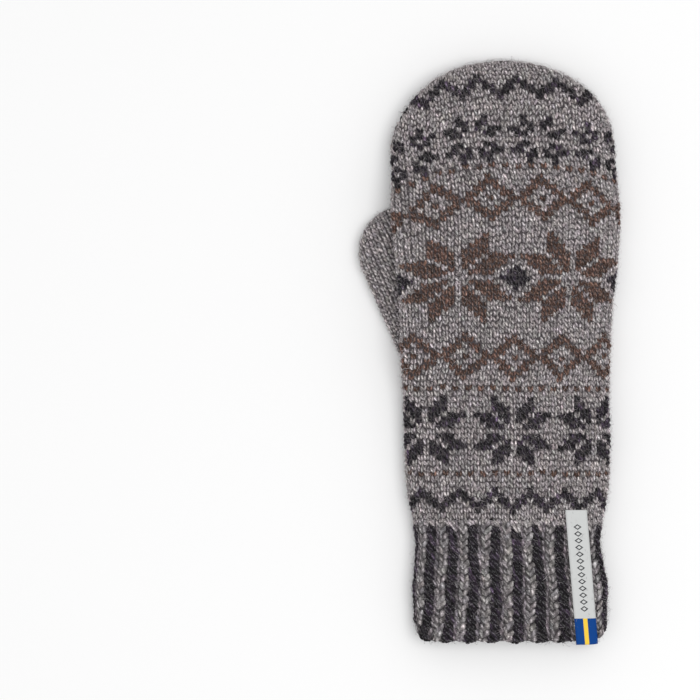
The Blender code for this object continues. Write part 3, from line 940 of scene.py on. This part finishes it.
def lay_thumb():
    """Where each stitch of the thumb is. The first half of the wales lies over, the other half under."""
    half = THUMB_WALES // 2
    wales = np.arange(THUMB_WALES)
    courses = np.arange(int(THUMB.end / THUMB_COURSE))
    k, b = [grid.ravel() for grid in np.meshgrid(wales, courses)]
    v = (b + 0.5) * THUMB_COURSE
    over = k < half
    side = (2 * (k % half) + 1) / half - 1
    here = THUMB.half_round(v, over)
    reach = THUMB.half_round(np.minimum(v, THUMB_LENGTH - THUMB_TIP_LENGTH), over)
    t = side * reach / 2
    wide = reach / half
    keep = (np.abs(t) < here / 2 + EDGE_OVERHANG * wide) & (v < THUMB.end - THUMB_COURSE / 4)
    laid = dict(t=t, v=v, wide=wide, over=over)
    return {key: value[keep] for key, value in laid.items()}


thumb = lay_thumb()
plain = np.zeros(len(thumb["t"]), int)
thumb_legs = legs_of(thumb, plain, girth=0.235, depth=0.00095, reach=1.6, tall=THUMB_COURSE, loose=0.4)
thumb_legs["head"] = thumb_legs["head"] - THUMB_HEADS_IN
make_legs("thumb_stitches", THUMB, thumb_legs, THUMB_WOOL, "thumb")

# %% [markdown]
# ## The ribbed cuff
# The ribbing has nineteen ribs. From left to right each rib is a light rope of two legs that lean towards
# each other, three dark lines of legs that all lean the same way, and a furrow that sinks in.

# %% Laying the ribs
RIBS = 19
RIB_COURSE = 0.0032
RIB_TWIST = 0.0008
RIB_FADE = 0.0070
RIB_COURSES_INSIDE = 9
RIB_SLANT = 0.3
RIB_WOBBLE = 0.035
RIB_WOBBLE_UP = 0.55
RIB_WOBBLE_ROUND = 2.1
RIB_GIRTH = 1.12
RIB_REACH = 1.60
RIB_DIVE = 0.7
RISE_INSIDE = 0.4
GREY_ABOVE_FADE = 0.55
INNER_LEG_DEPTH = 0.00050
OUTER_LEG_DEPTH = 0.00090
RIB_PARTS = [
    # across the rib, width, rise in mm, yarn, lean
    (0.07, 0.19, -0.20, 4, -0.14),
    (0.26, 0.26, 0.15, 4, 0.22),
    (0.45, 0.17, -0.10, 1, -0.18),
    (0.59, 0.18, 0.10, 1, -0.22),
    (0.73, 0.18, 0.05, 1, -0.22),
    (0.89, 0.18, -0.30, 3, 0.00),
]
HEM_LOBES = 0.00080
HEM_LOBES_REACH = 0.0030
# Standard deviations: up and rise in metres, the others in shares
RIB_SPREAD = dict(up=0.0004, run=0.02, girth=0.06, rise=0.00015, lean=0.07, reach=0.08)


def lay_ribs():
    """Legs of the ribbing, part by part across each rib, from inside the hem over it and up."""
    courses = np.arange(-RIB_COURSES_INSIDE, int(CUFF_LENGTH / RIB_COURSE) + 1)
    rib, course = [grid.ravel() for grid in np.meshgrid(np.arange(RIBS), courses)]
    count = len(rib)
    error = lambda key: rough(count, RIB_SPREAD[key])
    found = []
    for middle, width, rise, yarn, lean in RIB_PARTS:
        v = (course + 0.5 + RIB_SLANT * middle) * RIB_COURSE + error("up")
        v = np.minimum(v, CUFF_LENGTH)
        over = CUFF.half_round(v, True)
        under = CUFF.half_round(v, False)
        around = over + under
        fade = ease((CUFF_LENGTH - v) / RIB_FADE)
        twist = RIB_TWIST * (1 - np.clip(v / CUFF_LENGTH, 0, 1)) / around
        wobble = RIB_WOBBLE / RIBS * np.sin(course * RIB_WOBBLE_UP + rib * RIB_WOBBLE_ROUND)
        place = (rib + middle + error("run")) / RIBS
        run = ((1 - place + twist + wobble) % 1.0) * around
        on_top = run < over
        inner = v < 0
        lobe = -HEM_LOBES * math.cos(2 * math.pi * middle) * np.exp(-((v / HEM_LOBES_REACH) ** 2))
        kind = np.where((fade < GREY_ABOVE_FADE) & (yarn == 1) & (v > CUFF_LENGTH / 2), 0, yarn)
        girth = width / 2 * RIB_GIRTH * (1 + error("girth"))
        raised = rise / 1000 * fade * np.where(inner, RISE_INSIDE, 1.0)
        legs = {
            "t": np.where(on_top, over / 2 - run, over + under / 2 - run),
            "v": v,
            "over": on_top,
            "wide": around / RIBS,
            "tall": np.full(count, RIB_COURSE),
            "side": np.ones(count),
            "foot": np.zeros(count),
            "head": np.zeros(count),
            "girth": girth,
            "depth": np.where(inner, INNER_LEG_DEPTH, OUTER_LEG_DEPTH),
            "dive": np.full(count, RIB_DIVE),
            "rise": raised + error("rise") + lobe,
            "lean": lean + error("lean"),
            "reach": RIB_REACH * (1 + error("reach")),
            "colour": leg_colours(kind),
        }
        found.append(legs)
    return {key: np.concatenate([part[key] for part in found]) for key in found[0]}


cuff_legs = lay_ribs()
make_legs("cuff_stitches", CUFF, cuff_legs, CUFF_WOOL, "cuff")

# %% [markdown]
# ## The ribbon label
# A woven satin ribbon is sewn to the cuff at its top end and folded round the hem. It is off-white, and its
# lower end is woven blue with a yellow stripe down the middle. It carries a plain row of small lozenges.

# %% The ribbon's shape
LABEL_WIDTH = 0.0100
LABEL_ABOVE_CUFF = 0.0040
LABEL_INSIDE = 0.0150
LABEL_FROM_EDGE_TOP = 0.0140
LABEL_FROM_EDGE_HEM = 0.0098
LABEL_CLOTH = 0.00035
LABEL_FLOAT = 0.00070
LABEL_ROUND_HEM = 0.0005
LABEL_ROWS = 160
LABEL_COLUMNS = 9
LABEL_FOLD = 0.45
LABEL_LONG_WAVE = 0.00012
LABEL_SHORT_WAVE = 0.00006
LABEL_CURL = 0.00030


def back_height(x, y):
    """Height of the back of the cuff at a place on it."""
    half_thick = thickness(y) / (1 + FLAT_UNDERSIDE)
    share = np.clip(np.abs(x - centre(y)) / half_width(y), 0, 0.999)
    return half_thick * (FLAT_UNDERSIDE + (1 - share**SIDE_FULLNESS) ** (1 / SIDE_FULLNESS))


def ribbon_points():
    """A strip that runs down the back, round the hem in a half circle and up inside, as one long grid."""
    top = CUFF_LENGTH + LABEL_ABOVE_CUFF
    radius = KNIT_WALL / 2 + LABEL_ROUND_HEM
    turn_length = math.pi * radius
    total = top + turn_length + LABEL_INSIDE
    run = np.linspace(0, total, LABEL_ROWS)[:, None]
    across = np.linspace(-0.5, 0.5, LABEL_COLUMNS)[None, :]
    turned = np.clip((run - top) / turn_length, 0, 1) * math.pi
    y = np.maximum(top - run, 0) + np.maximum(run - top - turn_length, 0)
    at_hem = centre(0) + half_width(0) - LABEL_FROM_EDGE_HEM
    at_top = centre(top) + half_width(top) - LABEL_FROM_EDGE_TOP
    x = at_hem + (at_top - at_hem) * y / top + across * LABEL_WIDTH
    corner = hem_rise((x - centre(0)) / half_width(0), y)
    z = back_height(x, y) + LABEL_FLOAT - radius + radius * np.cos(turned)
    share = run / total
    waves = LABEL_LONG_WAVE * np.sin(share * 23) + LABEL_SHORT_WAVE * np.sin(share * 61 + across * 3)
    curl = LABEL_CURL * (2 * across) ** 2
    height = y + corner - radius * LABEL_FOLD * np.sin(turned)
    points = np.stack([x, height, z + waves + curl + 0 * x], axis=-1) + SHIFT
    uv = np.stack([across + 0.5 + 0 * run, share + 0 * across], axis=-1)
    return points, uv, total


# %% The ribbon's finish
BLUE_FROM = 0.612
BLUE_TO = 0.86
HALF_STRIPE = 0.10
MARKS = 26
MARKS_FROM = 2
MARKS_TO = 15
MARK_NARROWS = 2.2
MARK_INSIDE = 0.24
MARK_OUTSIDE = 0.42
WARP_THREADS = 42
WEFT_STEP = 0.00032
RIBBON_WHITE = (0.61, 0.62, 0.615, 1)
RIBBON_BLUE = (0.0, 0.052, 0.25, 1)
RIBBON_YELLOW = (0.92, 0.62, 0.06, 1)
RIBBON_MARK = (0.03, 0.03, 0.035, 1)


def between(tree, value, low, high):
    """1 where a node's output lies between two numbers, and 0 elsewhere."""
    above = maths(tree, "GREATER_THAN", value, low)
    return times(tree, above, maths(tree, "LESS_THAN", value, high))


def satin_material(total):
    """Off-white, with a blue zone, its yellow stripe and a row of lozenges, each a zone of the ribbon's own
    u across and v along. A lozenge is where the distance across plus the distance along is in a range."""
    material, tree, shader = new_material("satin_ribbon", 0.6, 0.15)
    uv = node(tree, "ShaderNodeUVMap", uv_map="ribbon")
    split = tree.nodes.new("ShaderNodeSeparateXYZ")
    tree.links.new(uv.outputs["UV"], split.inputs[0])
    u = split.outputs["X"]
    v = split.outputs["Y"]
    blue = between(tree, v, BLUE_FROM, BLUE_TO)
    from_middle = maths(tree, "ABSOLUTE", maths(tree, "SUBTRACT", u, 0.5))
    stripe = times(tree, maths(tree, "LESS_THAN", from_middle, HALF_STRIPE), blue)
    repeat = maths(tree, "FRACT", times(tree, v, float(MARKS)))
    up = maths(tree, "ABSOLUTE", maths(tree, "SUBTRACT", repeat, 0.5))
    near = maths(tree, "ADD", times(tree, from_middle, MARK_NARROWS), up)
    zone = between(tree, v, MARKS_FROM / MARKS, MARKS_TO / MARKS)
    mark = times(tree, between(tree, near, MARK_INSIDE, MARK_OUTSIDE), zone)
    colour = mix_colour(tree, "MIX", blue, RIBBON_WHITE, RIBBON_BLUE)
    colour = mix_colour(tree, "MIX", stripe, colour, RIBBON_YELLOW)
    colour = mix_colour(tree, "MIX", mark, colour, RIBBON_MARK)
    tree.links.new(colour, shader.inputs["Base Color"])
    threads = maths(tree, "SINE", times(tree, u, 2 * math.pi * WARP_THREADS))
    picks = maths(tree, "SINE", times(tree, v, 2 * math.pi * total / WEFT_STEP))
    bump = node(tree, "ShaderNodeBump", Strength=0.5, Distance=0.00005)
    tree.links.new(maths(tree, "ADD", times(tree, threads, 0.4), picks), bump.inputs["Height"])
    tree.links.new(bump.outputs["Normal"], shader.inputs["Normal"])
    return material


ribbon, ribbon_uv, ribbon_total = ribbon_points()
first = np.arange((LABEL_ROWS - 1) * LABEL_COLUMNS).reshape(-1, LABEL_COLUMNS)[:, :-1]
quads = np.stack([first, first + LABEL_COLUMNS, first + LABEL_COLUMNS + 1, first + 1], -1).reshape(-1, 4)
satin = satin_material(ribbon_total)
label = put_mesh("ribbon_label", ribbon.reshape(-1, 3), [quads], satin, "label")
layer = label.data.uv_layers.new(name="ribbon")
layer.data.foreach_set("uv", ribbon_uv.reshape(-1, 2)[quads.ravel()].astype(np.float32).ravel())
wall = label.modifiers.new("Ribbon", "SOLIDIFY")
wall.thickness = LABEL_CLOTH
wall.offset = 0
print("ribbon length:", round(ribbon_total * 1000, 1), "mm")

# %% [markdown]
# ## Loose fibres
# Washed wool felts a little, and fine fibres stand off it. They soften every edge. Each is a thin curved
# tube with three sides that starts in a leg, bends over the cloth and ends close above it.

# %% Fibres
FIBRE_RADIUS = 0.000045
FIBRE_RINGS = 4
FIBRE_BEND = 260.0
FIBRE_LENGTHS = (0.0018, 0.0048)
FIBRE_ROOT = 0.0003
FIBRE_LEAST_LIFT = 0.0001
FIBRE_ARCH = 0.75


def make_fibres(name, cloth, legs, count, lift):
    """Fibres from random legs: heading, bend, length and height differ, and the ends taper."""
    pick = random.integers(0, len(legs["t"]), count)
    t0 = legs["t"][pick]
    over = legs["over"][pick]
    v0 = legs["v"][pick] + rough(count, 0.4) * legs["tall"][pick]
    heading = random.uniform(0, 2 * math.pi, count)[:, None]
    bend = rough(count, FIBRE_BEND)[:, None]
    length = random.uniform(*FIBRE_LENGTHS, count)[:, None]
    top = np.abs(rough(count, lift))[:, None] + FIBRE_LEAST_LIFT
    s = np.linspace(0, 1, FIBRE_RINGS)[None, :]
    turn = heading + bend * s * length
    a = np.cumsum(np.cos(turn), axis=1) * length / FIBRE_RINGS
    b = np.cumsum(np.sin(turn), axis=1) * length / FIBRE_RINGS
    c = -FIBRE_ROOT + (top + FIBRE_ROOT) * np.sin(s * math.pi * FIBRE_ARCH)
    radius = FIBRE_RADIUS * (1.05 - 0.75 * s) * random.uniform(0.7, 1.4, count)[:, None]
    angle = (np.arange(3) * 2 * math.pi / 3)[None, None, :]
    side_a = -np.sin(turn)[..., None] * np.cos(angle) * radius[..., None]
    side_b = np.cos(turn)[..., None] * np.cos(angle) * radius[..., None]
    side_c = np.sin(angle) * radius[..., None]
    v = v0[:, None, None] + b[..., None] + side_b
    w = cloth.around(t0[:, None, None] + a[..., None] + side_a, v, over[:, None, None])
    points = cloth.place(w, v, c[..., None] + side_c)
    points[..., 2] = np.maximum(points[..., 2], STEP_OVER_FLOOR)
    rings = FIBRE_RINGS
    quads = []
    for start in range(0, (rings - 1) * 3, 3):
        for k in range(3):
            n = (k + 1) % 3
            quads.append((start + k, start + n, start + 3 + n, start + 3 + k))
    caps = [(0, 2, 1), (rings * 3 - 3, rings * 3 - 2, rings * 3 - 1)]
    shift = (np.arange(count) * rings * 3)[:, None, None]
    sets = [(np.array(part)[None] + shift).reshape(-1, len(part[0])) for part in (quads, caps)]
    tint = legs["colour"][pick] * random.uniform(0.9, 1.5, count)[:, None] + 0.012
    colour = np.ones((count, rings * 3, 4))
    colour[..., :3] = tint[:, None, :]
    strand = np.zeros((count, rings * 3, 3))
    strand[..., 2] = random.random(count)[:, None]
    layers = {"yarn_colour": colour.reshape(-1, 4), "strand": strand.reshape(-1, 3)}
    put_mesh(name, points.reshape(-1, 3), sets, FUZZ_WOOL, None, layers)
    print(f"{name}: {count} fibres")


make_fibres("hand_back_fibres", HAND, back_legs, 9000, 0.0009)
make_fibres("hand_palm_fibres", HAND, palm_legs, 5000, 0.0006)
make_fibres("thumb_fibres", THUMB, thumb_legs, 2200, 0.0006)
make_fibres("cuff_fibres", CUFF, cuff_legs, 5000, 0.0008)

# %% [markdown]
# ## Floor, light and camera
# The mitten lies on a plain pale floor. One large soft lamp hangs high above, a little to the right, and an
# even pale sky fills the shadows. The camera looks straight down from far above, so little is
# foreshortened.

# %% Stage
PIXEL = 0.0004639
PHOTO_TIP_ROW = 60
PHOTO_SIZE = 700
TIP_ROW_TO_MIDDLE = PHOTO_SIZE / 2 - PHOTO_TIP_ROW
PHOTO_MIDDLE_LINE = 505.65
CAMERA_HEIGHT = 2.2
FIELD = PHOTO_SIZE * PIXEL
FLOOR = 3.0
FLOOR_GREY = (0.93, 0.93, 0.93, 1)
SKY_STRENGTH = 0.70
LAMP_SIZE = 1.4
LAMP_WATTS = 14
LAMP_PLACE = (0.38, -0.12, 1.75)

floor_mesh = bpy.data.meshes.new("floor")
floor_corners = [(-FLOOR, -FLOOR, 0), (FLOOR, -FLOOR, 0), (FLOOR, FLOOR, 0), (-FLOOR, FLOOR, 0)]
floor_mesh.from_pydata(floor_corners, [], [(0, 1, 2, 3)])
floor = add_object("floor", floor_mesh)
pale, _, pale_shader = new_material("pale_floor", 0.9, 0.1)
pale_shader.inputs["Base Color"].default_value = FLOOR_GREY
floor_mesh.materials.append(pale)

world = bpy.data.worlds.new("sky")
world.use_nodes = True
world.node_tree.nodes["Background"].inputs["Color"].default_value = (1, 1, 1, 1)
world.node_tree.nodes["Background"].inputs["Strength"].default_value = SKY_STRENGTH
bpy.context.scene.world = world
bpy.context.scene.view_settings.view_transform = "Standard"

lamp_data = bpy.data.lights.new("soft_lamp", "AREA")
lamp_data.shape = "DISK"
lamp_data.size = LAMP_SIZE
lamp_data.energy = LAMP_WATTS
lamp = add_object("soft_lamp", lamp_data)
lamp.location = LAMP_PLACE
lamp.rotation_mode = "QUATERNION"
lamp.rotation_quaternion = lamp.location.to_track_quat("Z", "Y")

camera_data = bpy.data.cameras.new("camera")
camera = add_object("camera", camera_data)
middle_x = SHIFT[0] + (PHOTO_SIZE / 2 - PHOTO_MIDDLE_LINE) * PIXEL
middle_y = SHIFT[1] + LENGTH - TIP_ROW_TO_MIDDLE * PIXEL
camera.location = (middle_x, middle_y, CAMERA_HEIGHT)
camera_data.lens = camera_data.sensor_width * (CAMERA_HEIGHT - HAND_THICKNESS / 2) / FIELD
camera_data.clip_end = 20
bpy.context.scene.camera = camera
print("camera over", round(middle_x, 4), round(middle_y, 4), "lens", round(camera_data.lens))
